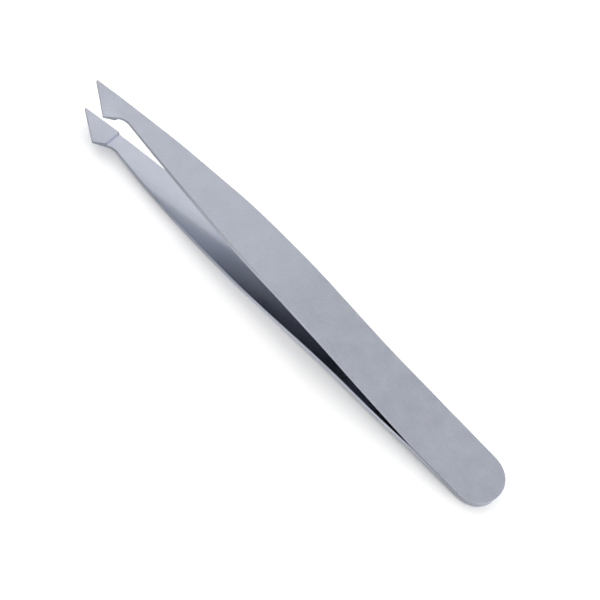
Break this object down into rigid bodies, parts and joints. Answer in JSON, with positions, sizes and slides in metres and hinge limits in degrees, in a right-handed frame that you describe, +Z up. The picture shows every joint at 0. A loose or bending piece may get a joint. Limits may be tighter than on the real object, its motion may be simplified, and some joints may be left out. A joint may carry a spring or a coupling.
{
  "type": "slant tweezers",
  "caption": "Slant-tip tweezers: stamped satin-steel spring arms joined at a rounded heel, tapering to claw-shaped tips with a slanted edge and flat gripping pads.",
  "frame": {"origin": "on the table, under the middle of the tweezers' bounding box, with the tweezers lying on the lower arm", "axes": "+X from the heel towards the tips, +Y towards the claw side of the tips, +Z up; the plane midway between the arms contains Y and rises 3.69 degrees towards the tips"},
  "size_m": [0.095, 0.0092, 0.0125],
  "materials": {
    "upper_arm_steel": "satin",
    "lower_arm_steel": "satin",
    "weld_steel": "dull, inside the joint"
  },
  "bodies": {
    "heel": {"upper_arm_heel": "upper_arm_steel", "lower_arm_heel": "lower_arm_steel", "weld_nugget_front": "weld_steel", "weld_nugget_rear": "weld_steel"},
    "upper_blade": {"upper_arm_blade": "upper_arm_steel"},
    "lower_blade": {"lower_arm_blade": "lower_arm_steel"}
  },
  "joints": [
    {"name": "upper_arm_flex", "type": "hinge", "parent": "heel", "child": "upper_blade", "pos_m": [-0.01759, 0.00005, 0.00466], "axis": [0, 1, 0], "range_deg": [0, 4.33], "stiffness_Nm_per_rad": 0.25},
    {"name": "lower_arm_flex", "type": "hinge", "parent": "heel", "child": "lower_blade", "pos_m": [-0.01737, 0.00005, 0.00123], "axis": [0, -1, 0], "range_deg": [0, 4.33], "stiffness_Nm_per_rad": 0.25}
  ],
  "couplings": [
    {"joint": "lower_arm_flex", "follows": "upper_arm_flex", "ratio": 1}
  ]
}
